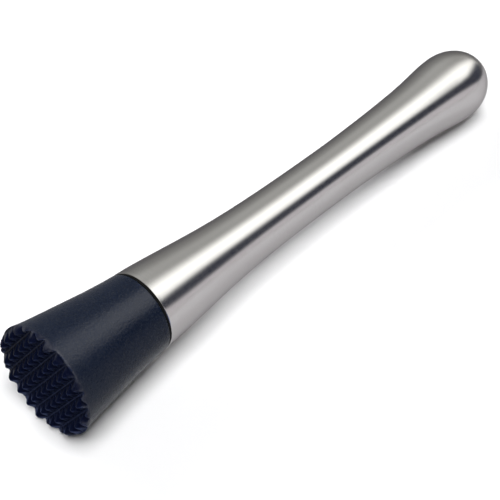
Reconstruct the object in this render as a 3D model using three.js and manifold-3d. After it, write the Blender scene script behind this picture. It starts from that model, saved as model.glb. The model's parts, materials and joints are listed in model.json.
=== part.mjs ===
// Bar muddler with a hollow steel handle and a screw-on toothed head.
// Millimetres, +Z up. It lies on its side on the plane z = 0: the rim of the
// head and the bulb at the butt touch, the head points to -X, the butt to +X.
// Every piece is modelled about a local X axis (tooth tips at x = 0, butt at
// x = LENGTH); the tilted group at the end lays the whole muddler down.

import * as THREE from 'three';
import { mergeVertices } from 'three/addons/utils/BufferGeometryUtils.js';
import Module from 'manifold-3d';

const wasm = await Module();
wasm.setup();

// ---------------------------------------------------------------- dimensions
const LENGTH = 200;            // tooth tips to butt
const FACETS = 40;             // flats around the big round pieces

// head: outside, as [x, radius] from the tooth tips to the joint with the handle
const HEAD_PROFILE = [
  [0, 16.6], [0.25, 17.12], [0.9, 17.6], [1.9, 17.86], [2.8, 17.84],
  [5, 17.4], [10, 16.58], [15, 15.83], [20.3, 15.08], [25.5, 14.3],
  [31, 13.6], [35, 13.24], [37.6, 13.06], [38, 12.75],
];
const HEAD_LENGTH = 38;        // tooth tips to the shoulder
const SPIGOT_R = 11.3;         // pilot that centres the head in the mouth
const SPIGOT_END = 41.2;
const SOCKET_R = 6.2;          // pocket of the threaded insert
const SOCKET_FLOOR = 26.4;
const RELIEF_R = 4.5;          // room for the end of the stud
const RELIEF_FLOOR = 23;

// teeth: square grid of four-sided pyramids with blunt tips, cut by V grooves
const TOOTH_PITCH = 4.36;
const TOOTH_DEPTH = 2.0;
const TOOTH_FLAT = 0.6;
const TOOTH_GROOVES = 4;       // grooves on each side of the one through the centre
const TOOTH_GRID_ANGLE = 34.5;  // degrees about the axis, at rest

// seal between the shoulder of the head and the mouth of the handle
const SEAL_FRONT = 38.1;
const SEAL_BACK = 38.7;
const SEAL_R_OUT = 12.6;
const SEAL_R_IN = 11.5;

// handle: outside, as [x, radius] from the mouth to the bulb
const MOUTH_X = 38.8;
const HANDLE_PROFILE = [
  [38.8, 13.03], [42.6, 12.82], [48.7, 12.28], [55.8, 11.57], [62.9, 10.85],
  [71, 10.12], [81, 9.47], [91.3, 9.06], [101.4, 8.86], [111.6, 8.76],
  [121.7, 8.74], [131.8, 8.86], [142, 9.13], [152, 9.52], [162.3, 10.06],
  [167.3, 10.44], [172.4, 10.95], [177.5, 11.56], [182, 12.0], [184.6, 12.07],
];
const BULB_X = 184.6;          // widest section of the bulb
const BULB_R = 12.07;
const DOME_POWER = 2.1;
const WALL = 0.8;              // sheet thickness

// plug bonded in the mouth
const PLUG_FRONT = 42.6;
const PLUG_BACK = 58.9;
const PLUG_GAP = 0.15;
const PLUG_BORE_R = 4.3;
const PLUG_RECESS_R = 8.4;
const PLUG_RECESS_FLOOR = 48.9;

// M8 x 35 bolt used as the stud, thin nut, washer
const STUD_R = 4.0;
const STUD_TIP = 24;
const STUD_SEAT = 59;
const HEX_ACROSS_FLATS = 13;
const BOLT_HEAD = 5.3;
const NUT_FRONT = 43.1;
const NUT_BACK = 47.1;
const WASHER_FRONT = 47.2;
const WASHER_BACK = 48.8;
const WASHER_R_OUT = 8.0;
const WASHER_R_IN = 4.25;
const THREAD_BORE_R = 4.08;    // clear of the stud: the thread itself is left plain

// brass insert moulded into the head
const INSERT_R = 6.0;
const INSERT_RIDGES = 24;
const INSERT_FRONT = 26.5;
const INSERT_BACK = 41.1;

// ------------------------------------------------------------------- helpers

// smooth curve through [x, y] points that never overshoots them
function smooth(points) {
  const n = points.length;
  const h = [], d = [], m = new Array(n).fill(0);
  for (let i = 0; i < n - 1; i++) {
    h.push(points[i + 1][0] - points[i][0]);
    d.push((points[i + 1][1] - points[i][1]) / h[i]);
  }
  m[0] = d[0];
  m[n - 1] = d[n - 2];
  for (let i = 1; i < n - 1; i++) {
    if (d[i - 1] * d[i] > 0) {
      const w1 = 2 * h[i] + h[i - 1], w2 = h[i] + 2 * h[i - 1];
      m[i] = (w1 + w2) / (w1 / d[i - 1] + w2 / d[i]);
    }
  }
  return (x) => {
    let i = 0;
    while (i < n - 2 && x > points[i + 1][0]) i++;
    const t = (x - points[i][0]) / h[i];
    const t2 = t * t, t3 = t2 * t;
    return points[i][1] * (2 * t3 - 3 * t2 + 1) + m[i] * h[i] * (t3 - 2 * t2 + t)
      + points[i + 1][1] * (3 * t2 - 2 * t3) + m[i + 1] * h[i] * (t3 - t2);
  };
}

const handleSide = smooth(HANDLE_PROFILE);

function handleRadius(x) {
  if (x <= BULB_X) return handleSide(x);
  const t = Math.min(1, (x - BULB_X) / (LENGTH - BULB_X));
  return BULB_R * Math.pow(1 - Math.pow(t, DOME_POWER), 1 / DOME_POWER);
}

function boreRadius(x) {
  if (x <= BULB_X) return handleSide(x) - WALL;
  const t = Math.min(1, (x - BULB_X) / (LENGTH - WALL - BULB_X));
  return (BULB_R - WALL) * Math.pow(1 - Math.pow(t, DOME_POWER), 1 / DOME_POWER);
}

// one closed, outward-facing, indexed surface
function clean(geometry) {
  const g = geometry.clone();
  g.deleteAttribute('normal');
  g.deleteAttribute('uv');
  const merged = mergeVertices(g, 1e-4);
  const p = merged.getAttribute('position');
  const src = merged.getIndex().array;
  const keep = [];
  let volume = 0;
  const a = new THREE.Vector3(), b = new THREE.Vector3(), c = new THREE.Vector3();
  for (let i = 0; i < src.length; i += 3) {
    const [u, v, w] = [src[i], src[i + 1], src[i + 2]];
    if (u === v || v === w || w === u) continue;
    keep.push(u, v, w);
    a.fromBufferAttribute(p, u);
    b.fromBufferAttribute(p, v);
    c.fromBufferAttribute(p, w);
    volume += a.dot(b.cross(c));
  }
  if (volume < 0) for (let i = 0; i < keep.length; i += 3) [keep[i], keep[i + 1]] = [keep[i + 1], keep[i]];
  merged.setIndex(keep);
  return merged;
}

// revolve [x, radius] points about the X axis; flats sit at the given radius
function revolve(points, sides = FACETS) {
  const k = 1 / Math.cos(Math.PI / sides);
  const profile = points.map(([x, r]) => new THREE.Vector2(r * k, x));
  const g = new THREE.LatheGeometry(profile, sides, Math.PI / sides, 2 * Math.PI);
  g.rotateZ(-Math.PI / 2);
  return clean(g);
}

// extrude a flat shape along X from x0 to x1
function extrudeX(shape, x0, x1, curveSegments = 24) {
  const g = new THREE.ExtrudeGeometry(shape, { depth: x1 - x0, bevelEnabled: false, curveSegments });
  g.rotateY(Math.PI / 2);
  g.translate(x0, 0, 0);
  return clean(g);
}

function polygon(radii, phase = 0) {
  return radii.map((r, i) => {
    const a = phase + (i / radii.length) * 2 * Math.PI;
    return new THREE.Vector2(r * Math.cos(a), r * Math.sin(a));
  });
}

const toSolid = (g) => new wasm.Manifold(new wasm.Mesh({
  numProp: 3,
  vertProperties: new Float32Array(g.getAttribute('position').array),
  triVerts: new Uint32Array(g.getIndex().array),
}));

function fromSolid(solid) {
  const mesh = solid.getMesh();
  const g = new THREE.BufferGeometry();
  g.setAttribute('position', new THREE.BufferAttribute(new Float32Array(mesh.vertProperties), 3));
  g.setIndex(Array.from(mesh.triVerts));
  return g;
}

// --------------------------------------------------------------------- head
function makeHead() {
  const outline = [[0, 0], ...HEAD_PROFILE, [HEAD_LENGTH, SPIGOT_R],
    [SPIGOT_END - 0.5, SPIGOT_R], [SPIGOT_END, SPIGOT_R - 0.5],
    [SPIGOT_END, SOCKET_R], [SOCKET_FLOOR, SOCKET_R],
    [SOCKET_FLOOR, RELIEF_R], [RELIEF_FLOOR, RELIEF_R], [RELIEF_FLOOR, 0]];
  let solid = toSolid(revolve(outline));
  const half = (TOOTH_PITCH - TOOTH_FLAT) / 2;
  const over = 0.6;
  const wide = half * (1 + over / TOOTH_DEPTH);
  for (const turn of [0, 90]) {
    for (let k = -TOOTH_GROOVES; k <= TOOTH_GROOVES; k++) {
      const vee = new THREE.Shape([
        new THREE.Vector2(-over, k * TOOTH_PITCH - wide),
        new THREE.Vector2(TOOTH_DEPTH, k * TOOTH_PITCH),
        new THREE.Vector2(-over, k * TOOTH_PITCH + wide),
      ]);
      const g = new THREE.ExtrudeGeometry(vee, { depth: 44, bevelEnabled: false });
      g.translate(0, 0, -22);
      g.rotateX(THREE.MathUtils.degToRad(TOOTH_GRID_ANGLE + turn));
      solid = solid.subtract(toSolid(clean(g)));
    }
  }
  return fromSolid(solid.simplify ? solid.simplify(0.004) : solid.setTolerance(0.004));
}

function makeInsert() {
  const radii = [];
  for (let i = 0; i < 2 * INSERT_RIDGES; i++) radii.push(i % 2 ? INSERT_R - 0.35 : INSERT_R);
  const star = toSolid(extrudeX(new THREE.Shape(polygon(radii)), INSERT_FRONT, INSERT_BACK));
  const bore = toSolid(revolve([[INSERT_FRONT - 1, 0], [INSERT_FRONT - 1, THREAD_BORE_R],
    [INSERT_BACK + 1, THREAD_BORE_R], [INSERT_BACK + 1, 0]], 24));
  const waist = (x0, x1) => toSolid(revolve([[x0, INSERT_R - 0.7], [x0, INSERT_R + 1],
    [x1, INSERT_R + 1], [x1, INSERT_R - 0.7], [x0, INSERT_R - 0.7]], 24));
  return fromSolid(star.subtract(bore).subtract(waist(31.5, 32.7)).subtract(waist(35.6, 36.8)));
}

// --------------------------------------------------------------------- seal
function makeSeal() {
  return revolve([[SEAL_FRONT, SEAL_R_IN], [SEAL_FRONT, SEAL_R_OUT - 0.12],
    [(SEAL_FRONT + SEAL_BACK) / 2, SEAL_R_OUT], [SEAL_BACK, SEAL_R_OUT - 0.12],
    [SEAL_BACK, SEAL_R_IN], [SEAL_FRONT, SEAL_R_IN]]);
}

// ------------------------------------------------------------------- handle
function makeShell() {
  const outer = [45, 52, 60, 68, 77, 87, 98, 110, 122, 134, 146, 156, 164, 171, 177, 181.5,
    184.6, 188, 191.5, 194.5, 197, 198.8].map((x) => [x, handleRadius(x)]);
  const inner = [198.2, 196.2, 193.6, 190, 184.6, 179, 172, 162, 150, 136, 122, 105, 90, 78, 68, 60,
    52, 45].map((x) => [x, boreRadius(x)]);
  return revolve([[LENGTH, 0], ...outer.reverse(), [MOUTH_X + 0.3, handleRadius(MOUTH_X + 0.3)],
    [MOUTH_X, handleRadius(MOUTH_X) - 0.3], [MOUTH_X, handleRadius(MOUTH_X) - WALL],
    ...inner.reverse(), [LENGTH - WALL, 0]]);
}

function makePlug() {
  const side = [PLUG_FRONT, 46, 50, 54, PLUG_BACK].map((x) => [x, boreRadius(x) - PLUG_GAP]);
  return revolve([[PLUG_FRONT, PLUG_RECESS_R], ...side, [PLUG_BACK, PLUG_BORE_R],
    [PLUG_RECESS_FLOOR, PLUG_BORE_R], [PLUG_RECESS_FLOOR, PLUG_RECESS_R],
    [PLUG_FRONT, PLUG_RECESS_R]]);
}

function hexBlock(x0, x1, chamferFront, chamferBack) {
  const corner = HEX_ACROSS_FLATS / 2 / Math.cos(Math.PI / 6);
  const flat = HEX_ACROSS_FLATS / 2 - 0.15;
  const hex = toSolid(extrudeX(new THREE.Shape(polygon(new Array(6).fill(corner))), x0, x1));
  const turned = toSolid(revolve([[x0, 0], [x0, chamferFront ? flat : corner + 1],
    [x0 + 0.75, corner + 0.1], [x1 - 0.75, corner + 0.1],
    [x1, chamferBack ? flat : corner + 1], [x1, 0]], 36));
  return hex.intersect(turned);
}

function makeStud() {
  const shank = toSolid(revolve([[STUD_TIP, 0], [STUD_TIP, 3.1], [STUD_TIP + 0.9, STUD_R * Math.cos(Math.PI / 24)],
    [STUD_SEAT + 1, STUD_R * Math.cos(Math.PI / 24)], [STUD_SEAT + 1, 0]], 24));
  return fromSolid(hexBlock(STUD_SEAT, STUD_SEAT + BOLT_HEAD, false, true).add(shank));
}

function makeNut() {
  const bore = toSolid(revolve([[NUT_FRONT - 1, 0], [NUT_FRONT - 1, THREAD_BORE_R],
    [NUT_BACK + 1, THREAD_BORE_R], [NUT_BACK + 1, 0]], 24));
  return fromSolid(hexBlock(NUT_FRONT, NUT_BACK, true, true).subtract(bore));
}

function makeWasher() {
  return revolve([[WASHER_FRONT, WASHER_R_IN], [WASHER_FRONT, WASHER_R_OUT], [WASHER_BACK, WASHER_R_OUT],
    [WASHER_BACK, WASHER_R_IN], [WASHER_FRONT, WASHER_R_IN]], 32);
}

// ---------------------------------------------------------------- materials
const steel = (roughness) => new THREE.MeshStandardMaterial({ color: 0xc9c8c6, metalness: 1, roughness });
const nylon = new THREE.MeshStandardMaterial({ color: 0x1f2633, metalness: 0, roughness: 0.55 });
const plugPlastic = new THREE.MeshStandardMaterial({ color: 0x17181b, metalness: 0, roughness: 0.6 });
const rubber = new THREE.MeshStandardMaterial({ color: 0x0b0b0d, metalness: 0, roughness: 0.85 });
const brass = new THREE.MeshStandardMaterial({ color: 0xc69a4a, metalness: 1, roughness: 0.35 });

// ------------------------------------------------------------------ assembly
const muddler = new THREE.Group();

function piece(name, geometry, material) {
  geometry.computeVertexNormals();
  const mesh = new THREE.Mesh(geometry, material);
  mesh.name = name;
  muddler.add(mesh);
}

piece('head', makeHead(), nylon);
piece('threaded_insert', makeInsert(), brass);
piece('seal_ring', makeSeal(), rubber);
piece('handle_shell', makeShell(), steel(0.3));
piece('mouth_plug', makePlug(), plugPlastic);
piece('stud', makeStud(), steel(0.35));
piece('jam_nut', makeNut(), steel(0.35));
piece('washer', makeWasher(), steel(0.4));

// lay it down: find the tilt at which the rim and the bulb are equally low
const lowest = (tilt, xs, radius) => Math.min(...xs.map((x) => -x * Math.sin(tilt) - radius(x) * Math.cos(tilt)));
const rimXs = HEAD_PROFILE.slice(0, 6).map((p) => p[0]);
const rimRadius = (x) => HEAD_PROFILE.find((p) => p[0] === x)[1];
const bulbXs = [177, 181.5, 184.6, 188, 191.5];
let low = 0, high = 0.1;
for (let i = 0; i < 60; i++) {
  const mid = (low + high) / 2;
  if (lowest(mid, rimXs, rimRadius) < lowest(mid, bulbXs, handleRadius)) low = mid; else high = mid;
}
const tilt = (low + high) / 2;
muddler.rotation.y = tilt;
muddler.updateMatrixWorld(true);
const box = new THREE.Box3().setFromObject(muddler, true);
muddler.position.set(-(box.min.x + box.max.x) / 2, -(box.min.y + box.max.y) / 2, -box.min.z);
muddler.updateMatrixWorld(true);

export default muddler;
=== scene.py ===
# Looks of the bar muddler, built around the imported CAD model. Metres, +Z up.
import json
import math

import bpy
import bmesh
from mathutils import Matrix, Vector


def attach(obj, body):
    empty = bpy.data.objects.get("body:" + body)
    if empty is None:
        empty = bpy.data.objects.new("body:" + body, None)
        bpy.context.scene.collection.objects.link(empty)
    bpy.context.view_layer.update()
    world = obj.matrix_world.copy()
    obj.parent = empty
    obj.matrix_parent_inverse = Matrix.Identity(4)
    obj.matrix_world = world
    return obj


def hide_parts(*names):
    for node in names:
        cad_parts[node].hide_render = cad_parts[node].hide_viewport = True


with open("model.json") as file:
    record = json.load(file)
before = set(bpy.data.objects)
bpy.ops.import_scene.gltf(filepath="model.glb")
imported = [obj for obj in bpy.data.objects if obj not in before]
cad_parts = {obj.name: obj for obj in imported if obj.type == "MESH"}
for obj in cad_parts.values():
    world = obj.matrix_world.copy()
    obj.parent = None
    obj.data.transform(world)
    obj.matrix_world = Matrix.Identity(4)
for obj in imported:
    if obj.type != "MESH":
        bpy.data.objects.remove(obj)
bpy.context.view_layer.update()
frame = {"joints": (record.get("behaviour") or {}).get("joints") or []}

# ------------------------------------------------------------------ the axis
# Every piece is drawn about a local X axis in millimetres: tooth tips at x = 0, butt at x = 200.
HINGE = next(j for j in frame["joints"] if j["name"] == "head_unscrew")
AX = -Vector(HINGE["axis"]).normalized()
AY = Vector((0.0, 1.0, 0.0))
AZ = AX.cross(AY).normalized()
TIP = Vector(HINGE["pos_m"])


def place(x, y, z):
    return TIP + (AX * x + AY * y + AZ * z) * 0.001


# ---------------------------------------------------------------- dimensions
LENGTH = 200.0
HEAD_FLARE = [
    (2.8, 17.76), (5, 17.28), (10, 16.50), (15, 15.79), (20.3, 15.06), (25.5, 14.33),
    (31, 13.68), (35, 13.29), (37.6, 13.10), (38, 13.08),
]
RIM_R = 17.86          # widest radius of the head
RIM_FLAT_R = 16.1      # the rounded corner starts here
RIM_X = 2.3            # and ends this far behind the tips
HANDLE_PROFILE = [
    (38.8, 13.03), (42.6, 12.82), (48.7, 12.28), (55.8, 11.57), (62.9, 10.85),
    (71, 10.12), (81, 9.47), (91.3, 9.06), (101.4, 8.86), (111.6, 8.76),
    (121.7, 8.74), (131.8, 8.86), (142, 9.13), (152, 9.52), (162.3, 10.06),
    (167.3, 10.44), (172.4, 10.95), (177.5, 11.56), (182, 12.0), (184.6, 12.07),
]
MOUTH_X = 38.8
BULB_X, BULB_R, DOME_POWER, WALL = 184.6, 12.07, 2.1, 0.8
PITCH, DEPTH, TIP_FLAT, FLOOR_FLAT, GRID_ANGLE = 4.36, 2.0, 0.6, 0.3, 34.5
THREAD_PITCH = 1.25


def smooth_curve(points):
    n = len(points)
    h = [points[i + 1][0] - points[i][0] for i in range(n - 1)]
    d = [(points[i + 1][1] - points[i][1]) / h[i] for i in range(n - 1)]
    m = [0.0] * n
    m[0], m[-1] = d[0], d[-1]
    for i in range(1, n - 1):
        if d[i - 1] * d[i] > 0:
            w1, w2 = 2 * h[i] + h[i - 1], h[i] + 2 * h[i - 1]
            m[i] = (w1 + w2) / (w1 / d[i - 1] + w2 / d[i])

    def f(x):
        i = 0
        while i < n - 2 and x > points[i + 1][0]:
            i += 1
        t = (x - points[i][0]) / h[i]
        t2, t3 = t * t, t * t * t
        return (points[i][1] * (2 * t3 - 3 * t2 + 1) + m[i] * h[i] * (t3 - 2 * t2 + t)
                + points[i + 1][1] * (3 * t2 - 2 * t3) + m[i + 1] * h[i] * (t3 - t2))

    return f


handle_side = smooth_curve(HANDLE_PROFILE)
flare_side = smooth_curve(HEAD_FLARE)


def relaxed(f, x, lo, hi, w=3.0):
    """The curve averaged over a few millimetres, so that its curvature is even."""
    total, weight = 0.0, 0.0
    for i in range(-6, 7):
        t = i / 6.0
        k = (1 - t * t) ** 2
        q = x + t * w
        if q < lo:
            v = f(lo) + (q - lo) * (f(lo + 0.5) - f(lo)) / 0.5
        elif q > hi:
            v = f(hi) + (q - hi) * (f(hi) - f(hi - 0.5)) / 0.5
        else:
            v = f(q)
        total += k * v
        weight += k
    return total / weight


def dome(x, a, b):
    t = min(1.0, max(0.0, (x - BULB_X) / a))
    return b * (1 - t ** DOME_POWER) ** (1 / DOME_POWER)


def handle_radius(x):
    if x >= BULB_X:
        return dome(x, LENGTH - BULB_X, BULB_R)
    r = relaxed(handle_side, x, MOUTH_X, BULB_X)
    return min(BULB_R, r) if x > 150 else r


def bore_radius(x):
    if x >= BULB_X:
        return dome(x, LENGTH - WALL - BULB_X, BULB_R - WALL)
    return handle_radius(x) - WALL


# ------------------------------------------------------------- mesh builders
def new_object(name, verts, faces, material, body, replaces=(), slot=None, smooth=True):
    mesh = bpy.data.meshes.new(name)
    mesh.from_pydata([place(*v) for v in verts], [], faces)
    mesh.validate()
    bm = bmesh.new()
    bm.from_mesh(mesh)
    bmesh.ops.recalc_face_normals(bm, faces=bm.faces)
    bm.to_mesh(mesh)
    bm.free()
    for p in mesh.polygons:
        p.use_smooth = smooth
    mesh.materials.append(material)
    obj = bpy.data.objects.new(name, mesh)
    bpy.context.scene.collection.objects.link(obj)
    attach(obj, body)
    if replaces:
        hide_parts(*replaces)
    return obj


def fillet(points, closed=False, steps=5):
    """(x, r, radius) corners turned into a smooth outline with that fillet at each corner."""
    out = []
    n = len(points)
    for i, (x, r, rad) in enumerate(points):
        if rad <= 0 or (not closed and i in (0, n - 1)):
            out.append((x, r))
            continue
        p = Vector((x, r))
        a = Vector(points[i - 1][:2]) - p
        b = Vector(points[(i + 1) % n][:2]) - p
        la, lb = a.length, b.length
        a.normalize()
        b.normalize()
        ang = a.angle(b)
        t = min(rad / math.tan(ang / 2), la * 0.48, lb * 0.48)
        rr = t * math.tan(ang / 2)
        bis = (a + b).normalized()
        c = p + bis * (rr / math.sin(ang / 2))
        s, e = p + a * t, p + b * t
        a0 = math.atan2(s.y - c.y, s.x - c.x)
        a1 = math.atan2(e.y - c.y, e.x - c.x)
        d = (a1 - a0 + math.pi) % (2 * math.pi) - math.pi
        for k in range(steps + 1):
            q = a0 + d * k / steps
            out.append((c.x + rr * math.cos(q), c.y + rr * math.sin(q)))
    return out


def revolve(name, profile, segs, material, body, closed=False, **kw):
    """Revolves (x, r) points. Points with r under 1e-6 are on the axis and become one vertex."""
    verts, rings, faces = [], [], []
    for x, r in profile:
        if r < 1e-6:
            rings.append([len(verts)])
            verts.append((x, 0.0, 0.0))
        else:
            rings.append(list(range(len(verts), len(verts) + segs)))
            for k in range(segs):
                a = 2 * math.pi * (k + 0.5) / segs
                verts.append((x, r * math.sin(a), r * math.cos(a)))
    pairs = list(zip(rings[:-1], rings[1:]))
    if closed:
        pairs.append((rings[-1], rings[0]))
    for A, B in pairs:
        for k in range(segs):
            j = (k + 1) % segs
            if len(A) == 1 and len(B) == 1:
                continue
            if len(A) == 1:
                faces.append((A[0], B[k], B[j]))
            elif len(B) == 1:
                faces.append((A[k], B[0], A[j]))
            else:
                faces.append((A[k], B[k], B[j], A[j]))
    return new_object(name, verts, faces, material, body, **kw)


# ------------------------------------------------------------------ materials
ALIGN = Matrix((AX, AY, AZ)).to_3x3()          # rows: the local axes in the row frame


class Graph:
    """A short way to write a node tree."""

    def __init__(self, tree):
        self.tree = tree
        tree.nodes.clear()

    def add(self, kind, **props):
        node = self.tree.nodes.new(kind)
        for k, v in props.items():
            setattr(node, k, v)
        return node

    def link(self, a, b):
        self.tree.links.new(a, b)

    def scaled(self, vec, scale, loc=(0, 0, 0)):
        m = self.add("ShaderNodeMapping")
        m.inputs["Scale"].default_value = scale
        m.inputs["Location"].default_value = loc
        self.link(vec, m.inputs["Vector"])
        return m.outputs["Vector"]

    def noise(self, vec, scale=1.0, detail=3.0, rough=0.55, distortion=0.0):
        t = self.add("ShaderNodeTexNoise")
        t.inputs["Scale"].default_value = scale
        t.inputs["Detail"].default_value = detail
        t.inputs["Roughness"].default_value = rough
        t.inputs["Distortion"].default_value = distortion
        self.link(vec, t.inputs["Vector"])
        return t.outputs["Fac"]

    def voronoi(self, vec, scale=1.0, feature="F1", randomness=1.0):
        t = self.add("ShaderNodeTexVoronoi", feature=feature)
        t.inputs["Scale"].default_value = scale
        t.inputs["Randomness"].default_value = randomness
        self.link(vec, t.inputs["Vector"])
        return t.outputs["Distance"]

    def remap(self, value, a, b, c, d, clamp=True, smooth=False):
        m = self.add("ShaderNodeMapRange", clamp=clamp)
        if smooth:
            m.interpolation_type = "SMOOTHSTEP"
        for i, v in zip(("From Min", "From Max", "To Min", "To Max"), (a, b, c, d)):
            m.inputs[i].default_value = v
        self.link(value, m.inputs["Value"])
        return m.outputs["Result"]

    def math(self, op, a, b=None, c=None):
        m = self.add("ShaderNodeMath", operation=op)
        for i, v in enumerate((a, b, c)):
            if v is None:
                continue
            if isinstance(v, (int, float)):
                m.inputs[i].default_value = v
            else:
                self.link(v, m.inputs[i])
        return m.outputs[0]

    def curve(self, value, points):
        """A straight-line function through (x, y) points, as a sum of ramps."""
        total = None
        for (x0, y0), (x1, y1) in zip(points[:-1], points[1:]):
            part = self.remap(value, x0, x1, 0.0, y1 - y0)
            total = part if total is None else self.math("ADD", total, part)
        return self.math("ADD", total, points[0][1])

    def mix(self, fac, a, b):
        m = self.add("ShaderNodeMix", data_type="RGBA")
        for sock, v in ((m.inputs[0], fac), (m.inputs[6], a), (m.inputs[7], b)):
            if isinstance(v, (int, float)):
                sock.default_value = v
            elif isinstance(v, tuple):
                sock.default_value = (*v, 1.0)
            else:
                self.link(v, sock)
        return m.outputs[2]


class Nodes(Graph):
    """A material about one Principled shader, with coordinates in local millimetres."""

    def __init__(self, name):
        self.mat = bpy.data.materials.new(name)
        self.mat.use_nodes = True
        super().__init__(self.mat.node_tree)
        self.out = self.add("ShaderNodeOutputMaterial")
        self.bsdf = self.add("ShaderNodeBsdfPrincipled")
        self.tree.links.new(self.bsdf.outputs[0], self.out.inputs[0])
        coord = self.add("ShaderNodeTexCoord")
        # object coordinates turned to the local axis, in millimetres from the tooth tips
        e = ALIGN.to_euler()
        turn = self.add("ShaderNodeMapping")
        off = -(ALIGN @ TIP) * 1000.0
        turn.inputs["Location"].default_value = off
        turn.inputs["Rotation"].default_value = e
        turn.inputs["Scale"].default_value = (1000.0, 1000.0, 1000.0)
        self.tree.links.new(coord.outputs["Object"], turn.inputs["Vector"])
        self.mm = turn.outputs["Vector"]

    def bump(self, height, distance_mm, strength=1.0, normal=None):
        b = self.add("ShaderNodeBump")
        b.inputs["Strength"].default_value = strength
        b.inputs["Distance"].default_value = distance_mm * 0.001
        self.link(height, b.inputs["Height"])
        if normal is not None:
            self.link(normal, b.inputs["Normal"])
        return b.outputs["Normal"]

    def set(self, **values):
        names = {"color": "Base Color", "metallic": "Metallic", "rough": "Roughness", "ior": "IOR",
                 "spec": "Specular IOR Level", "aniso": "Anisotropic", "aniso_rot": "Anisotropic Rotation",
                 "coat": "Coat Weight", "coat_rough": "Coat Roughness", "sheen": "Sheen Weight",
                 "sheen_rough": "Sheen Roughness", "normal": "Normal", "tangent": "Tangent",
                 "edge": "Specular Tint"}
        for k, v in values.items():
            sock = self.bsdf.inputs[names[k]]
            if isinstance(v, (int, float)):
                sock.default_value = v
            elif isinstance(v, tuple):
                sock.default_value = (*v, 1.0)
            else:
                self.link(v, sock)
        return self.mat


def satin_steel(name, base=(0.455, 0.441, 0.443), rough=0.20, grain=0.0006, shade=0.05, warm=True):
    """Steel brushed round the axis: fine rings, longer soft bands, faint handling haze."""
    n = Nodes(name)
    fine = n.noise(n.scaled(n.mm, (9.0, 0.10, 0.10)), 1.0, 4.0, 0.7)
    band = n.noise(n.scaled(n.mm, (1.3, 0.05, 0.05)), 1.0, 3.0, 0.6)
    haze = n.noise(n.scaled(n.mm, (0.035, 0.08, 0.08)), 1.0, 4.0, 0.6, 0.4)
    tone = n.mix(n.remap(fine, 0.30, 0.70, 0.0, 1.0), tuple(c * (1 - shade) for c in base), tuple(min(1, c * (1 + shade)) for c in base))
    stain = (base[0] * 0.97, base[1] * 0.955, base[2] * 0.95) if warm else base
    color = n.mix(n.remap(haze, 0.45, 0.75, 0.0, 0.6), tone, stain)
    r = n.math("ADD", n.remap(fine, 0.25, 0.75, rough - 0.03, rough + 0.04), n.remap(band, 0.3, 0.7, -0.012, 0.015))
    r = n.math("ADD", r, n.remap(haze, 0.4, 0.75, 0.0, 0.035))
    bump = n.bump(fine, grain, 1.0)
    axis = n.add("ShaderNodeCombineXYZ")
    for i in range(3):
        axis.inputs[i].default_value = AX[i]
    return n.set(color=color, metallic=1.0, rough=r, normal=bump, aniso=0.5, tangent=axis.outputs[0],
                 edge=(0.50, 0.49, 0.50))


def nylon(name, base=(0.0020, 0.0046, 0.0130), rough=0.27, grain=0.085, edge=True):
    """Moulded nylon: fine spark texture, slight cloudiness, worn lighter edges, painted shade on the teeth and a
    painted highlight on the rim.
    """
    n = Nodes(name)
    spark = n.noise(n.scaled(n.mm, (1.6, 1.6, 1.6)), 1.0, 2.0, 0.6)
    pits = n.voronoi(n.scaled(n.mm, (2.4, 2.4, 2.4)), 1.0)
    fleck = n.noise(n.scaled(n.mm, (2.7, 2.7, 2.7), (3.1, 7.7, 1.3)), 1.0, 1.5, 0.5)
    cloud = n.noise(n.scaled(n.mm, (0.12, 0.12, 0.12)), 1.0, 4.0, 0.55, 0.3)
    light = (base[0] * 1.30, base[1] * 1.28, base[2] * 1.24)
    color = n.mix(n.remap(cloud, 0.35, 0.70, 0.0, 0.7), base, light)
    color = n.mix(n.remap(spark, 0.35, 0.75, 0.0, 0.35), color, light)
    xyz = n.add("ShaderNodeSeparateXYZ")
    n.link(n.mm, xyz.inputs[0])
    teeth_shade_fade = n.remap(xyz.outputs[0], 1.6, 3.2, 0.0, 1.0)                      # painted shade: the toothed face is painted darker and bluer, with fewer flecks
    color = n.mix(teeth_shade_fade, (base[0] * 0.55, base[1] * 0.50, base[2] * 0.90), color)
    flecks = n.math("MULTIPLY", n.remap(fleck, 0.53, 0.72, 0.0, 0.60), n.remap(teeth_shade_fade, 0.0, 1.0, 0.15, 1.0))
    color = n.mix(flecks, color, (0.026, 0.029, 0.036))
    if edge:
        geo = n.add("ShaderNodeNewGeometry")
        worn = n.remap(geo.outputs["Pointiness"], 0.515, 0.60, 0.0, 0.85)
        color = n.mix(worn, color, (0.012, 0.020, 0.052))
        # painted highlight: the rounded rim round the toothed face is painted pale in patches, where it catches the
        # overhead light
        rho = n.math("SQRT", n.math("ADD", n.math("POWER", xyz.outputs[1], 2.0), n.math("POWER", xyz.outputs[2], 2.0)))
        rim_highlight_paint = n.math("MULTIPLY", n.remap(rho, 16.2, 17.3, 0.0, 1.0), n.remap(xyz.outputs[0], 3.3, 2.5, 0.0, 1.0))
        rim_highlight_paint = n.math("MULTIPLY", rim_highlight_paint, n.remap(geo.outputs["Pointiness"], 0.49, 0.53, 0.0, 1.0))
        rim_highlight_paint = n.math("MULTIPLY", rim_highlight_paint, n.remap(n.noise(n.scaled(n.mm, (0.55, 0.55, 0.55)), 1.0, 2.0, 0.6), 0.42, 0.60, 0.10, 0.75))
        color = n.mix(rim_highlight_paint, color, (0.040, 0.042, 0.052))
    r = n.remap(spark, 0.3, 0.7, rough - 0.07, rough + 0.09)
    r = n.math("ADD", r, n.remap(xyz.outputs[0], 6.0, 30.0, 0.05, -0.04))      # handled smoother near the joint
    height = n.math("ADD", spark, n.math("MULTIPLY", pits, 0.35))
    bump = n.bump(height, grain, 1.0)
    return n.set(color=color, metallic=0.0, rough=r, normal=bump, spec=0.10)


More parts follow.
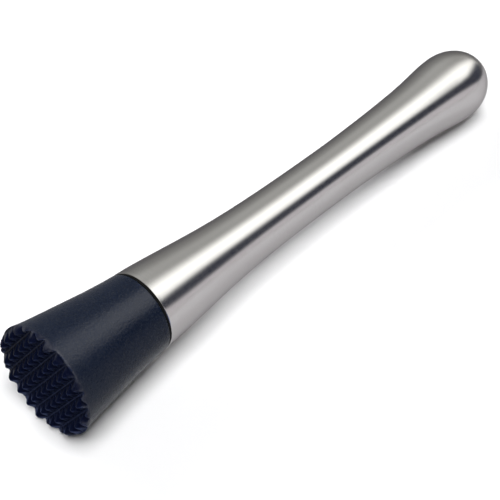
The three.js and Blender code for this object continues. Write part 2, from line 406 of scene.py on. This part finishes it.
def rubber(name):
    n = Nodes(name)
    grit = n.noise(n.scaled(n.mm, (5, 5, 5)), 1.0, 4.0, 0.65)
    dust = n.noise(n.scaled(n.mm, (0.6, 0.6, 0.6)), 1.0, 3.0, 0.6)
    color = n.mix(n.remap(dust, 0.45, 0.75, 0.0, 0.5), (0.0015, 0.0015, 0.0018), (0.005, 0.005, 0.0055))
    return n.set(color=color, rough=n.remap(grit, 0.3, 0.7, 0.62, 0.82), normal=n.bump(grit, 0.012), spec=0.15)


def turned_metal(name, base, rough, tint, marks=(14.0, 0.6, 0.6)):
    """Machined or rolled metal with fine tool marks and slight tarnish."""
    n = Nodes(name)
    tool = n.noise(n.scaled(n.mm, marks), 1.0, 3.0, 0.6)
    tarnish = n.noise(n.scaled(n.mm, (0.35, 0.35, 0.35)), 1.0, 4.0, 0.6, 0.5)
    color = n.mix(n.remap(tarnish, 0.40, 0.72, 0.0, 0.8), base, tint)
    r = n.math("ADD", n.remap(tool, 0.3, 0.7, rough - 0.05, rough + 0.06), n.remap(tarnish, 0.4, 0.75, 0.0, 0.10))
    return n.set(color=color, metallic=1.0, rough=r, normal=n.bump(tool, 0.004))


MAT_STEEL = satin_steel("satin_steel")
MAT_NYLON = nylon("navy_nylon")
MAT_PLUG = nylon("plug_plastic", base=(0.010, 0.0105, 0.012), rough=0.50, grain=0.014, edge=False)
MAT_RUBBER = rubber("seal_rubber")
MAT_BRASS = turned_metal("insert_brass", (0.62, 0.41, 0.16), 0.30, (0.47, 0.30, 0.12))
MAT_BOLT = turned_metal("fastener_steel", (0.47, 0.47, 0.47), 0.30, (0.38, 0.375, 0.37))

# --------------------------------------------------------------------- handle
SEG = 192


def handle_outline():
    pts = []
    lip = handle_radius(MOUTH_X)
    # outside from the butt's pole to the mouth
    for i in range(41):
        a = (math.pi / 2) * i / 40
        x = BULB_X + (LENGTH - BULB_X) * math.sin(math.pi / 2 - a) if i else LENGTH
        pts.append((x, handle_radius(x) if i else 0.0))
    x = BULB_X - 1.2
    while x > MOUTH_X + 1.0:
        pts.append((x, handle_radius(x)))
        x -= 1.2
    # rolled lip, with a fine bright radius on the edge
    e = 0.34
    for i in range(8):
        a = (math.pi / 2) * i / 7
        pts.append((MOUTH_X + e - e * math.sin(a), handle_radius(MOUTH_X + e) - e + e * math.cos(a)))
    b = 0.2
    inner = lip - WALL
    for i in range(6):
        a = (math.pi / 2) * i / 5
        pts.append((MOUTH_X + b - b * math.cos(a), inner + b - b * math.sin(a)))
    x = MOUTH_X + 1.5
    while x < BULB_X - 1.0:
        pts.append((x, bore_radius(x)))
        x += 2.0
    for i in range(25):
        a = (math.pi / 2) * i / 24
        x = BULB_X + (LENGTH - WALL - BULB_X) * math.sin(a)
        pts.append((x, bore_radius(x) if i < 24 else 0.0))
    return pts


handle = revolve("handle", handle_outline(), SEG, MAT_STEEL, "handle",
                 replaces=("handle_shell",), slot="satin_steel")

# ----------------------------------------------------------------------- head
CA, SA = math.cos(math.radians(GRID_ANGLE)), math.sin(math.radians(GRID_ANGLE))


def smax(a, b, k):
    if k <= 0:
        return max(a, b)
    h = max(k - abs(a - b), 0.0) / k
    return max(a, b) + h * h * k * 0.25


def smin(a, b, k):
    return -smax(-a, -b, k)


def groove(t):
    """Depth of the V groove at distance t from its middle."""
    t = abs(t)
    half = (PITCH - TIP_FLAT) / 2
    b = FLOOR_FLAT / 2
    line = DEPTH * (half - t) / (half - b)
    return smin(DEPTH, smax(0.0, line, 0.10), 0.16)


def near(t):
    """Distance from the nearest groove's middle."""
    k = max(-4, min(4, round(t / PITCH)))
    return t - k * PITCH


def rim_depth(rho):
    if rho <= RIM_FLAT_R:
        return 0.0
    t = min(1.0, (rho - RIM_FLAT_R) / (RIM_R - RIM_FLAT_R))
    return RIM_X * (1 - math.sqrt(max(0.0, 1 - t ** 2.0)))


def face_depth(u, v):
    gu, gv = groove(near(u)), groove(near(v))
    mid = (gu + gv) / 2
    k = 0.34 * max(0.0, 4 * mid * (DEPTH - mid) / DEPTH ** 2)
    g = min(DEPTH, smax(gu, gv, k))
    rho = math.hypot(u, v)
    c = rim_depth(rho)
    return smax(g, c, 0.22 if c > 1e-6 else 0.0) if rho > RIM_FLAT_R - 0.3 else g


def uv_to_yz(u, v):
    return u * CA - v * SA, u * SA + v * CA


def build_head():
    # grid lines, denser at the tips and at the bottoms of the grooves
    half = (PITCH - TIP_FLAT) / 2
    b = FLOOR_FLAT / 2
    base = [0.0, b * 0.6, b, b + 0.07, b + 0.18, b + 0.42, b + 0.7, b + 0.98, b + 1.24,
            half - 0.22, half - 0.10, half - 0.03, half + 0.05, half + 0.15, PITCH / 2]
    marks = sorted(set([round(t, 6) for t in base] + [round(PITCH - t, 6) for t in base]))
    lines = sorted(set(round(k * PITCH + t, 6) for k in range(-5, 5) for t in marks))
    CUT = 16.9
    lines = [t for t in lines if -CUT - 1.2 < t < CUT + 1.2]
    idx = {}
    verts = []

    def key(kind, i, j):
        k = (kind, i, j)
        if k not in idx:
            idx[k] = len(verts)
            if kind == "g":
                u, v = lines[i], lines[j]
            elif kind == "u":       # on the line u = lines[i], crossing the circle with sign j
                u = lines[i]
                v = j * math.sqrt(max(0.0, CUT * CUT - u * u))
            else:
                v = lines[i]
                u = j * math.sqrt(max(0.0, CUT * CUT - v * v))
            verts.append((u, v))
        return idx[k]

    n = len(lines)
    inside = [[lines[i] ** 2 + lines[j] ** 2 < CUT * CUT for j in range(n)] for i in range(n)]
    faces = []
    for i in range(n - 1):
        for j in range(n - 1):
            ring = [(i, j), (i + 1, j), (i + 1, j + 1), (i, j + 1)]
            flags = [inside[a][c] for a, c in ring]
            if all(flags):
                q = [key("g", a, c) for a, c in ring]
                uc, vc = (lines[i] + lines[i + 1]) / 2, (lines[j] + lines[j + 1]) / 2
                du = uc - (math.floor(uc / PITCH) + 0.5) * PITCH
                dv = vc - (math.floor(vc / PITCH) + 0.5) * PITCH
                if du * dv > 0:
                    faces += [(q[0], q[1], q[2]), (q[0], q[2], q[3])]
                else:
                    faces += [(q[0], q[1], q[3]), (q[1], q[2], q[3])]
            elif any(flags):
                poly = []
                for t in range(4):
                    (a, c), (a2, c2) = ring[t], ring[(t + 1) % 4]
                    if inside[a][c]:
                        poly.append(key("g", a, c))
                    if inside[a][c] != inside[a2][c2]:
                        if a == a2:
                            s = 1 if lines[c] + lines[c2] > 0 else -1
                            poly.append(key("u", a, s))
                        else:
                            s = 1 if lines[a] + lines[a2] > 0 else -1
                            poly.append(key("v", c, s))
                if len(poly) >= 3:
                    faces.append(tuple(poly))
    rim = [i for k, i in idx.items() if k[0] != "g"]
    rim.sort(key=lambda i: math.atan2(verts[i][1], verts[i][0]))
    # merge rim points that nearly coincide
    merged, alias = [], {}
    for i in rim:
        if merged and math.dist(verts[i], verts[merged[-1]]) < 0.035:
            alias[i] = merged[-1]
        else:
            merged.append(i)
    if math.dist(verts[merged[0]], verts[merged[-1]]) < 0.035:
        alias[merged[-1]] = merged[0]
        merged.pop()
    clean = []
    for f in faces:
        g = []
        for i in f:
            i = alias.get(i, i)
            i = alias.get(i, i)
            if not g or g[-1] != i:
                g.append(i)
        if len(g) > 1 and g[0] == g[-1]:
            g.pop()
        if len(set(g)) >= 3:
            clean.append(tuple(g))
    faces = clean
    P = []
    for u, v in verts:
        y, z = uv_to_yz(u, v)
        P.append((face_depth(u, v), y, z))
    angles = [math.atan2(verts[i][1], verts[i][0]) for i in merged]
    m = len(merged)
    prev = list(merged)

    def ring_of(fx, fr):
        out = []
        for a in angles:
            u, v = fr * math.cos(a), fr * math.sin(a)
            y, z = uv_to_yz(u, v)
            out.append(len(P))
            P.append((fx(u, v), y, z))
        return out

    def join(A, B):
        for k in range(m):
            j = (k + 1) % m
            faces.append((A[k], A[j], B[j], B[k]))

    # the rounded rim, cut by the ends of the grooves
    for t in (0.42, 0.56, 0.68, 0.78, 0.86, 0.92, 0.965, 1.0):
        rho = RIM_FLAT_R + (RIM_R - RIM_FLAT_R) * t
        if rho <= CUT + 0.02:
            continue
        ring = ring_of(face_depth, rho)
        join(prev, ring)
        prev = ring
    # the flared side
    for x in [2.35] + [2.8 + i * 1.1 for i in range(32)]:
        if x > 37.4:
            break
        r = RIM_R if x < 2.4 else min(RIM_R, relaxed(flare_side, x, 2.8, 38.0, 2.0))
        ring = ring_of(lambda u, v, x=x: x, r)
        join(prev, ring)
        prev = ring
    # shoulder, spigot, socket
    back = fillet([(37.3, 13.07, 0), (38.0, 13.03, 0.28), (38.0, 11.3, 0.15), (41.2, 11.25, 0.5),
                   (41.2, 6.2, 0.12), (26.4, 6.2, 0.1), (26.4, 4.5, 0.1), (23.0, 4.4, 0.8), (23.0, 0.0, 0)])
    for x, r in back[1:-1]:
        ring = ring_of(lambda u, v, x=x: x, r)
        join(prev, ring)
        prev = ring
    c = len(P)
    P.append((23.0, 0.0, 0.0))
    for k in range(m):
        faces.append((prev[k], prev[(k + 1) % m], c))
    # drop points that nothing uses
    used = sorted({i for f in faces for i in f})
    remap = {i: k for k, i in enumerate(used)}
    return [P[i] for i in used], [tuple(remap[i] for i in f) for f in faces]


head_verts, head_faces = build_head()
head = new_object("head_moulding", head_verts, head_faces, MAT_NYLON, "head",
                  replaces=("head",), slot="nylon")

# ------------------------------------------------------------------ small parts
seal = revolve("seal", fillet([(38.1, 11.5, 0.1), (38.1, 12.92, 0.25), (38.7, 12.92, 0.25), (38.7, 11.5, 0.1)],
                              closed=True, steps=6),
               SEG, MAT_RUBBER, "seal", closed=True, replaces=("seal_ring",), slot="rubber")


def plug_outline():
    side = [42.6, 44.5, 46.5, 48.5, 50.5, 52.5, 54.5, 56.5, 58.9]
    pts = [(42.6, 8.4, 0.35)]
    pts += [(x, bore_radius(x) - 0.15, 0.45 if i in (0, len(side) - 1) else 0) for i, x in enumerate(side)]
    pts += [(58.9, 4.3, 0.2), (48.9, 4.3, 0.15), (48.9, 8.35, 0.3)]
    return fillet(pts, closed=True, steps=5)


plug = revolve("mouth_plug_moulding", plug_outline(), 144, MAT_PLUG, "handle", closed=True,
               replaces=("mouth_plug",), slot="plug_plastic")

washer = revolve("plain_washer", fillet([(47.2, 4.25, 0.12), (47.2, 8.0, 0.3), (48.8, 8.0, 0.15), (48.8, 4.25, 0.08)],
                                        closed=True, steps=5),
                 112, MAT_BOLT, "handle", closed=True, replaces=("washer",), slot="fastener_steel")


def thread_wave(phase):
    """0 at the crest, 1 at the root of a 60 degree thread, for one turn of phase."""
    t = abs((phase / (2 * math.pi)) % 1.0 - 0.5) * 2.0          # 1 at the crest, 0 at the root
    return 1.0 - smin(1.0, smax(0.0, (t - 0.14) / 0.70, 0.10), 0.06)


def thread_phase(x, a):
    """Right-hand helix about the local X axis."""
    return 2 * math.pi * x / THREAD_PITCH + a


def add_grid(P, F, rows, flip=False):
    """rows of equal rings of points, joined by quads; returns the rings' indices."""
    ids = []
    for row in rows:
        ids.append(list(range(len(P), len(P) + len(row))))
        P.extend(row)
    for A, B in zip(ids[:-1], ids[1:]):
        k2 = len(A)
        for k in range(k2):
            j = (k + 1) % k2
            F.append((A[k], B[k], B[j], A[j]))
    return ids


def hex_radius(a, across, corner):
    s = math.pi / 3
    t = (a % s) - s / 2
    return min(across / 2 / math.cos(t), corner)


def ring_at(x, r, segs, wave=None):
    row = []
    for k in range(segs):
        a = 2 * math.pi * k / segs
        q = r(a) if callable(r) else r
        row.append((x(a, q) if callable(x) else x, q * math.sin(a), q * math.cos(a)))
    return row


def build_stud():
    P, F = [], []
    segs = 72
    rows = []
    tip, seat, end = 24.0, 59.0, 64.3
    rows.append(ring_at(tip, 0.6, segs))
    rows.append(ring_at(tip, 2.6, segs))
    rows.append(ring_at(tip + 0.05, 2.95, segs))
    x = tip + 0.12
    while x < 56.0:
        row = []
        for k in range(segs):
            a = 2 * math.pi * k / segs
            lead = min(1.0, max(0.0, (x - tip) / 1.0))           # chamfered lead
            fade = min(1.0, max(0.0, (55.5 - x) / 1.5))          # runs out under the head
            major = 3.05 + (3.94 - 3.05) * lead
            deep = 0.66 * thread_wave(thread_phase(x, a)) * fade
            r = max(2.98, min(major, 3.94 - deep))
            row.append((x, r * math.sin(a), r * math.cos(a)))
        rows.append(row)
        x += 0.104 if x < 46.0 else 0.21
    rows.append(ring_at(57.0, 3.94, segs))
    rows.append(ring_at(seat - 0.3, 3.94, segs))
    rows.append(ring_at(seat - 0.02, 4.1, segs))
    washer_r = 5.9
    rows.append(ring_at(seat, washer_r, segs))
    rows.append(ring_at(seat + 0.2, washer_r, segs))
    rows.append(ring_at(seat + 0.22, lambda a: hex_radius(a, 13.0, 7.45), segs))
    top = end
    cone = 6.25
    rows.append(ring_at(lambda a, q: top - max(0.0, q - cone) * 0.577, lambda a: hex_radius(a, 13.0, 7.45), segs))
    for f in (0.75, 0.5, 0.25, 0.0):
        rows.append(ring_at(lambda a, q: top - max(0.0, q - cone) * 0.577,
                            lambda a, f=f: cone + (hex_radius(a, 13.0, 7.45) - cone) * f if hex_radius(a, 13.0, 7.45) > cone else cone * 0.999, segs))
    rows.append(ring_at(top - 0.1, 5.6, segs))
    rows.append(ring_at(top - 0.1, 0.6, segs))
    ids = add_grid(P, F, rows)
    for ring, x in ((ids[0], tip), (ids[-1], top - 0.1)):
        c = len(P)
        P.append((x, 0.0, 0.0))
        for k in range(segs):
            F.append((ring[k], ring[(k + 1) % segs], c))
    return P, F


P, F = build_stud()
stud = new_object("stud_bolt", P, F, MAT_BOLT, "handle", replaces=("stud",), slot="fastener_steel")


def build_nut():
    P, F = [], []
    segs = 96
    x0, x1, bore, cone = 43.1, 47.1, 4.08, 6.25
    hexr = lambda a: hex_radius(a, 13.0, 7.48)
    front = lambda a, q: x0 + max(0.0, q - cone) * 0.577
    rear = lambda a, q: x1 - max(0.0, q - cone) * 0.577
    rows = [ring_at(x0 + 0.45, bore, segs), ring_at(x0, bore + 0.45, segs), ring_at(x0, 5.2, segs), ring_at(x0, cone, segs)]
    for f in (0.33, 0.66, 1.0):
        rows.append(ring_at(front, lambda a, f=f: cone + (hexr(a) - cone) * f, segs))
    for f in (0.25, 0.5, 0.75):
        rows.append(ring_at(lambda a, q, f=f: front(a, q) * (1 - f) + rear(a, q) * f, hexr, segs))
    for f in (1.0, 0.66, 0.33):
        rows.append(ring_at(rear, lambda a, f=f: cone + (hexr(a) - cone) * f, segs))
    rows += [ring_at(x1, cone, segs), ring_at(x1, bore + 0.45, segs), ring_at(x1 - 0.45, bore, segs)]
    ids = add_grid(P, F, rows)
    A, B = ids[-1], ids[0]
    for k in range(segs):
        j = (k + 1) % segs
        F.append((A[k], B[k], B[j], A[j]))
    return P, F


P, F = build_nut()
nut = new_object("thin_nut", P, F, MAT_BOLT, "handle", replaces=("jam_nut",), slot="fastener_steel")


def build_insert():
    P, F = [], []
    segs = 96
    x0, x1 = 26.5, 41.1
    rows = []
    # outside: two knurled bands and two plain waists, closed by rounded ends

    def outside(x):
        waist = (31.5 < x < 32.7) or (35.6 < x < 36.8)
        end = min(1.0, (x - x0) / 0.5, (x1 - x) / 0.5)

        def r(a):
            if waist:
                return 5.3
            ridge = 0.5 + 0.5 * math.cos(a * 24)
            return 5.62 + 0.34 * ridge * max(0.0, min(1.0, end)) - 0.25 * (1 - max(0.0, min(1.0, end)))
        return r

    xs = [x0, x0 + 0.25, x0 + 0.5]
    for lo, hi in ((x0 + 0.5, 31.49), (31.51, 32.69), (32.71, 35.59), (35.61, 36.79), (36.81, x1 - 0.5)):
        xs += [lo + (hi - lo) * t for t in (0, 0.5, 1)]
    xs += [x1 - 0.25, x1]
    for x in sorted(set(xs)):
        rows.append(ring_at(x, outside(x), segs))
    rows.append(ring_at(x1, 5.0, segs))
    rows.append(ring_at(x1, 4.62, segs))
    # the threaded bore, with a lead chamfer at each end
    x = x1 - 0.05
    while x > x0 + 0.04:
        row = []
        for k in range(segs):
            a = 2 * math.pi * k / segs
            lead = max(0.0, 1 - min(x - x0, x1 - x) / 0.55)
            r = 3.47 + 0.66 * (1 - thread_wave(thread_phase(x, a)))
            r = max(r, 3.47 + 1.1 * lead)
            row.append((x, r * math.sin(a), r * math.cos(a)))
        rows.append(row)
        x -= 0.104
    rows.append(ring_at(x0, 4.62, segs))
    ids = add_grid(P, F, rows)
    A, B = ids[-1], ids[0]
    for k in range(segs):
        j = (k + 1) % segs
        F.append((A[k], B[k], B[j], A[j]))
    return P, F


P, F = build_insert()
insert = new_object("brass_insert", P, F, MAT_BRASS, "head", replaces=("threaded_insert",), slot="brass")

# ------------------------------------------------------------------------ stage
floor_mesh = bpy.data.meshes.new("floor")
S = 8.0
floor_mesh.from_pydata([(-S, -S, 0), (S, -S, 0), (S, S, 0), (-S, S, 0)], [], [(0, 1, 2, 3)])
floor = bpy.data.objects.new("floor", floor_mesh)
bpy.context.scene.collection.objects.link(floor)
fm = bpy.data.materials.new("floor_paper")
fm.use_nodes = True
fb = fm.node_tree.nodes["Principled BSDF"]
fg = Graph.__new__(Graph)
fg.tree = fm.node_tree
# painted shade in reflections: seen in gloss the paper is darker (0.73) than seen directly (0.84)
in_gloss = fg.add("ShaderNodeLightPath").outputs["Is Glossy Ray"]
fg.link(fg.mix(in_gloss, (0.84, 0.84, 0.84), (0.73, 0.73, 0.73)), fb.inputs["Base Color"])
fb.inputs["Roughness"].default_value = 0.9
fb.inputs["Specular IOR Level"].default_value = 0.15
# well away from the part the paper fades into the white of the studio
where = fg.add("ShaderNodeTexCoord")
away = fg.add("ShaderNodeVectorMath", operation="LENGTH")
fg.link(where.outputs["Object"], away.inputs[0])
fade = fg.remap(away.outputs["Value"], 0.42, 1.10, 0.0, 1.0, smooth=True)
glow = fg.add("ShaderNodeEmission")
glow.inputs["Color"].default_value = (0.98, 0.98, 0.985, 1.0)
joined = fg.add("ShaderNodeMixShader")
seen_far = fg.add("ShaderNodeLightPath").outputs["Is Camera Ray"]
fg.link(fg.math("MULTIPLY", fade, seen_far), joined.inputs[0])
fg.link(fb.outputs[0], joined.inputs[1])
fg.link(glow.outputs[0], joined.inputs[2])
fg.link(joined.outputs[0], fm.node_tree.nodes["Material Output"].inputs["Surface"])
floor_mesh.materials.append(fm)


def area(name, location, target, sx, sy, watts, color=(1, 1, 1), glossy=True):
    light = bpy.data.lights.new(name, "AREA")
    light.shape = "RECTANGLE"
    light.size, light.size_y = sx, sy
    light.energy = watts
    light.color = color
    obj = bpy.data.objects.new(name, light)
    obj.location = location
    # the lamp's X side lies along the row's X, as near as facing the target allows
    back = (Vector(location) - Vector(target)).normalized()
    side = (Vector((1.0, 0.0, 0.0)) - back * back.x).normalized()
    obj.rotation_euler = Matrix((side, back.cross(side), back)).transposed().to_euler()
    obj.visible_camera = False
    obj.visible_glossy = glossy
    bpy.context.scene.collection.objects.link(obj)
    return obj


STRIP_SLOPE, STRIP_OFFSET = 0.20, -0.535       # centre line of the strip light, on a ceiling at height 1
STRIP_FAR, STRIP_NEAR, STRIP_NEAR_END = (0.08, 0.76), (-0.84, -0.34), (-0.84, 0.02)
STRIP_LEVEL, PALE_LEVEL, AMBIENT, KEY_WATTS, FILL_WATTS = 2.17, 1.00, 0.05, 132.0, 62.0

# The room: one long soft strip overhead, running away from the camera and a little to the far side, a dark
# studio between it and a pale wall low on the near side, and a grey wall on the far side.
world = bpy.data.worlds.new("studio")
bpy.context.scene.world = world
world.use_nodes = True
w = Graph(world.node_tree)
d_out = w.add("ShaderNodeOutputWorld")
bg = w.add("ShaderNodeBackground")
w.link(bg.outputs[0], d_out.inputs[0])
coord = w.add("ShaderNodeTexCoord")
split = w.add("ShaderNodeSeparateXYZ")
w.link(coord.outputs["Generated"], split.inputs[0])
X, Y, Z = split.outputs
zc = w.math("MAXIMUM", Z, 0.04)
px = w.math("DIVIDE", X, zc)
py = w.math("DIVIDE", Y, zc)
pxc = w.math("MINIMUM", w.math("MAXIMUM", px, -1.5), 7.0)
across = w.math("SUBTRACT", py, w.math("MULTIPLY_ADD", pxc, STRIP_SLOPE, STRIP_OFFSET))
far_edge = w.remap(across, STRIP_FAR[0], STRIP_FAR[1], 1.0, 0.0, smooth=True)
near_edge = w.remap(across, STRIP_NEAR[0], STRIP_NEAR[1], 0.0, 1.0, smooth=True)
near_end = w.remap(across, STRIP_NEAR_END[0], STRIP_NEAR_END[1], 0.0, 1.0, smooth=True)
near_low = w.remap(across, -0.70, 0.34, 0.0, 1.0, smooth=True)
low = w.remap(px, 0.68, 0.88, 1.0, 0.0)
ending = w.remap(px, 0.9, 1.6, 0.0, 1.0)
near_edge = w.math("ADD", w.math("MULTIPLY", near_edge, w.math("SUBTRACT", 1.0, ending)), w.math("MULTIPLY", near_end, ending))
near_edge = w.math("ADD", w.math("MULTIPLY", near_edge, w.math("SUBTRACT", 1.0, low)), w.math("MULTIPLY", near_low, low))
tilt = w.math("MULTIPLY", w.math("ARCSINE", X), 180 / math.pi)          # degrees towards +X
along = w.curve(tilt, [(-38, 0.0), (-24, 1.0), (40, 1.0), (52, 0.90), (60, 0.80), (68, 0.68), (76, 0.52), (82, 0.34), (90, 0.12)])
strip = w.math("MULTIPLY", w.math("MULTIPLY", far_edge, near_edge), w.math("MULTIPLY", along, STRIP_LEVEL))
psi = w.math("MULTIPLY", w.math("ARCTAN2", w.math("MULTIPLY", Y, -1.0), zc), 180 / math.pi)
grey = w.curve(psi, [(-90, 0.41), (-75, 0.45), (-62, 0.56), (-50, 0.75), (-40, 0.77), (-28, 0.70), (-15, 0.78)])
grey = w.math("MULTIPLY", grey, w.curve(tilt, [(-90, 0.15), (-25, 0.15), (-4, 1.0), (36, 1.0), (48, 0.86), (60, 0.92), (70, 1.25), (90, 1.6)]))
# the straight upper edge of the pale wall
edge = w.math("ADD", w.math("ADD", w.math("MULTIPLY", X, 0.281), w.math("MULTIPLY", Y, 0.484)), w.math("MULTIPLY", Z, 0.828))
pale = w.remap(edge, -0.055, 0.065, 1.0, 0.0, smooth=True)
lit_side = w.remap(tilt, -30.0, -8.0, 0.08, 1.0)
to_far = w.remap(across, -0.75, 0.05, 0.0, 1.0, smooth=True)
to_far = w.math("MULTIPLY", to_far, w.math("SUBTRACT", 1.0, pale))
dark = w.remap(tilt, 45.0, 75.0, 0.065, 0.10)


def tinted(value, tint):
    m = w.add("ShaderNodeVectorMath", operation="SCALE")
    m.inputs[0].default_value = tint
    w.link(value, m.inputs["Scale"])
    return m.outputs[0]


def total(a, b):
    m = w.add("ShaderNodeVectorMath", operation="ADD")
    w.link(a, m.inputs[0])
    w.link(b, m.inputs[1])
    return m.outputs[0]


rest = w.math("SUBTRACT", w.math("SUBTRACT", 1.0, pale), to_far)
light = tinted(w.math("MULTIPLY", grey, to_far), (0.985, 1.0, 0.95))
light = total(light, tinted(w.math("MULTIPLY", w.math("MULTIPLY", pale, lit_side), PALE_LEVEL), (1.0, 0.97, 0.985)))
light = total(light, tinted(w.math("MULTIPLY", rest, dark), (0.80, 0.90, 1.30)))
light = total(light, tinted(strip, (0.985, 1.0, 0.945)))
seen = w.add("ShaderNodeLightPath")
light = w.mix(seen.outputs["Is Diffuse Ray"], light, (AMBIENT, AMBIENT, AMBIENT * 1.02))
w.link(w.mix(seen.outputs["Is Camera Ray"], light, (0.98, 0.98, 0.985)), bg.inputs["Color"])
bg.inputs["Strength"].default_value = 1.0

def bearing(psi_deg, tilt_deg):
    """Unit direction psi_deg from overhead towards -Y, tilt_deg towards +X."""
    q, t = math.radians(psi_deg), math.radians(tilt_deg)
    return Vector((math.sin(t), -math.cos(t) * math.sin(q), math.cos(t) * math.cos(q)))


key = area("overhead_key", bearing(14.5, -11.0) * 3.2, (0, 0, 0), 2.68, 1.80, KEY_WATTS, color=(0.99, 0.99, 1.0), glossy=False)
fill = area("far_fill", bearing(-60, 9) * 3.2, (0, 0, 0), 1.7, 1.17, FILL_WATTS, color=(0.99, 0.99, 1.0), glossy=False)

# A brighter strip of the same ceiling for the dark moulding alone, seen only in its gloss.
head_strip = area("head_strip", bearing(15, 20) * 2.2, (-0.08, 0, 0.017), 3.7, 1.85, 84.0, color=(0.985, 0.99, 1.0))
head_strip.visible_diffuse = False
receivers = bpy.data.collections.new("head_strip_receivers")
receivers.objects.link(head)
head_strip.light_linking.receiver_collection = receivers


def flag(name, outline, z, near_level, far_level, tint=(1.0, 1.0, 1.0)):
    """A dark sheet lying on the floor, seen only in reflections: lighter towards +Y."""
    mesh = bpy.data.meshes.new(name)
    mesh.from_pydata([(x, y, z) for x, y in outline], [], [tuple(range(len(outline)))])
    obj = bpy.data.objects.new(name, mesh)
    bpy.context.scene.collection.objects.link(obj)
    m = bpy.data.materials.new(name)
    m.use_nodes = True
    g = Graph(m.node_tree)
    o = g.add("ShaderNodeOutputMaterial")
    e = g.add("ShaderNodeEmission")
    c = g.add("ShaderNodeTexCoord")
    q = g.add("ShaderNodeSeparateXYZ")
    g.link(c.outputs["Object"], q.inputs[0])
    level = g.remap(q.outputs["Y"], -0.10, 0.03, near_level, far_level, smooth=True)
    g.link(g.mix(level, (0, 0, 0), tint), e.inputs["Color"])
    g.link(e.outputs[0], o.inputs[0])
    mesh.materials.append(m)
    obj.visible_camera = False
    obj.visible_diffuse = False
    obj.visible_shadow = False
    obj.visible_transmission = False
    return obj


flag("floor_flag", [(-6.0, 0.022), (0.125, 0.022), (0.60, -0.24), (7.5, -4.2), (7.5, 7.5), (-6.0, 7.5)], 0.0012, 0.10, 0.36)
flag("front_flag", [(-6.0, -7.5), (-0.096, -7.5), (-0.096, 7.5), (-6.0, 7.5)], 0.0004, 0.34, 0.34, (0.73, 0.92, 1.78))

# ----------------------------------------------------------------------- camera
cam_data = bpy.data.cameras.new("camera")
cam = bpy.data.objects.new("camera", cam_data)
bpy.context.scene.collection.objects.link(cam)
bpy.context.scene.camera = cam
AZH, EL, DIST, F_PX, YAW, PITCH_ANGLE = 41.22, 43.84, 0.485, 1558.0, 1.603, -1.505
a, e = math.radians(AZH), math.radians(EL)
middle = place(100.0, 0.0, 0.0)
cam.location = middle + Vector((-math.cos(e) * math.cos(a), -math.cos(e) * math.sin(a), math.sin(e))) * DIST
y, p = math.radians(AZH + YAW), math.radians(-EL + PITCH_ANGLE)
fwd = Vector((math.cos(p) * math.cos(y), math.cos(p) * math.sin(y), math.sin(p)))
cam.rotation_euler = fwd.to_track_quat("-Z", "Y").to_euler()
cam_data.sensor_width = 36.0
cam_data.lens = F_PX / 500.0 * 36.0
cam_data.clip_start = 0.01
cam_data.clip_end = 50.0

view = bpy.context.scene.view_settings
view.view_transform = "Standard"
view.look = "None"
view.exposure = 0.0
view.gamma = 1.0
